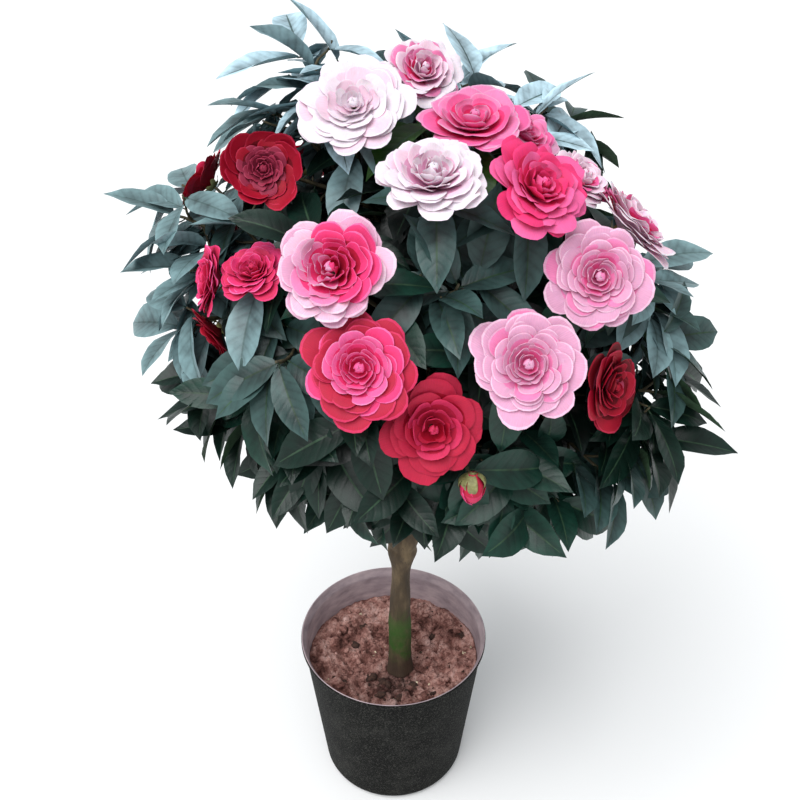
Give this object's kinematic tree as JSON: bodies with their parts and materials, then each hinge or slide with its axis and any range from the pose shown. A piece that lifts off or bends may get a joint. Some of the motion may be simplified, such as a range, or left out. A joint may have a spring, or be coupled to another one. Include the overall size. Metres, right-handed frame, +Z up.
{
  "type": "potted camellia shrub",
  "caption": "Round-headed camellia grown as a standard on one short trunk, with large double blooms in red, pink and white, rooted in soil in a plain black nursery pot.",
  "frame": {"origin": "centre of the flat underside of the pot", "axes": "+Z up, -Y towards the side with the most blooms, +X to the right as seen from that side"},
  "size_m": [0.6904, 0.5964, 1.1104],
  "materials": {
    "pot_plastic": "thin matt black nursery plastic, dusty",
    "soil": "rough red-brown loam with crumbs and clods",
    "bark": "thin grey-brown to olive bark, mossy near the foot",
    "foliage": "glossy dark green leaves with red, pink and white double blooms"
  },
  "bodies": {
    "root": {"pot": "pot_plastic", "soil": "soil", "trunk": "bark", "bough_right": "bark", "bough_left": "bark", "bough_top_back": "bark", "bough_front": "bark", "bough_back_left": "bark", "bough_back_right": "bark", "bough_low_left": "bark", "bough_low_front_left": "bark", "bough_low_front": "bark", "bough_low_right": "bark", "bough_low_back_right": "bark", "bough_low_back_left": "bark", "bough_top_left": "bark", "bough_top_right": "bark", "foliage_right": "foliage", "foliage_left": "foliage", "foliage_top_back": "foliage", "foliage_front": "foliage", "foliage_back_left": "foliage", "foliage_back_right": "foliage", "foliage_low_left": "foliage", "foliage_low_front_left": "foliage", "foliage_low_front": "foliage", "foliage_low_right": "foliage", "foliage_low_back_right": "foliage", "foliage_low_back_left": "foliage", "foliage_top_left": "foliage", "foliage_top_right": "foliage"}
  },
  "joints": []
}
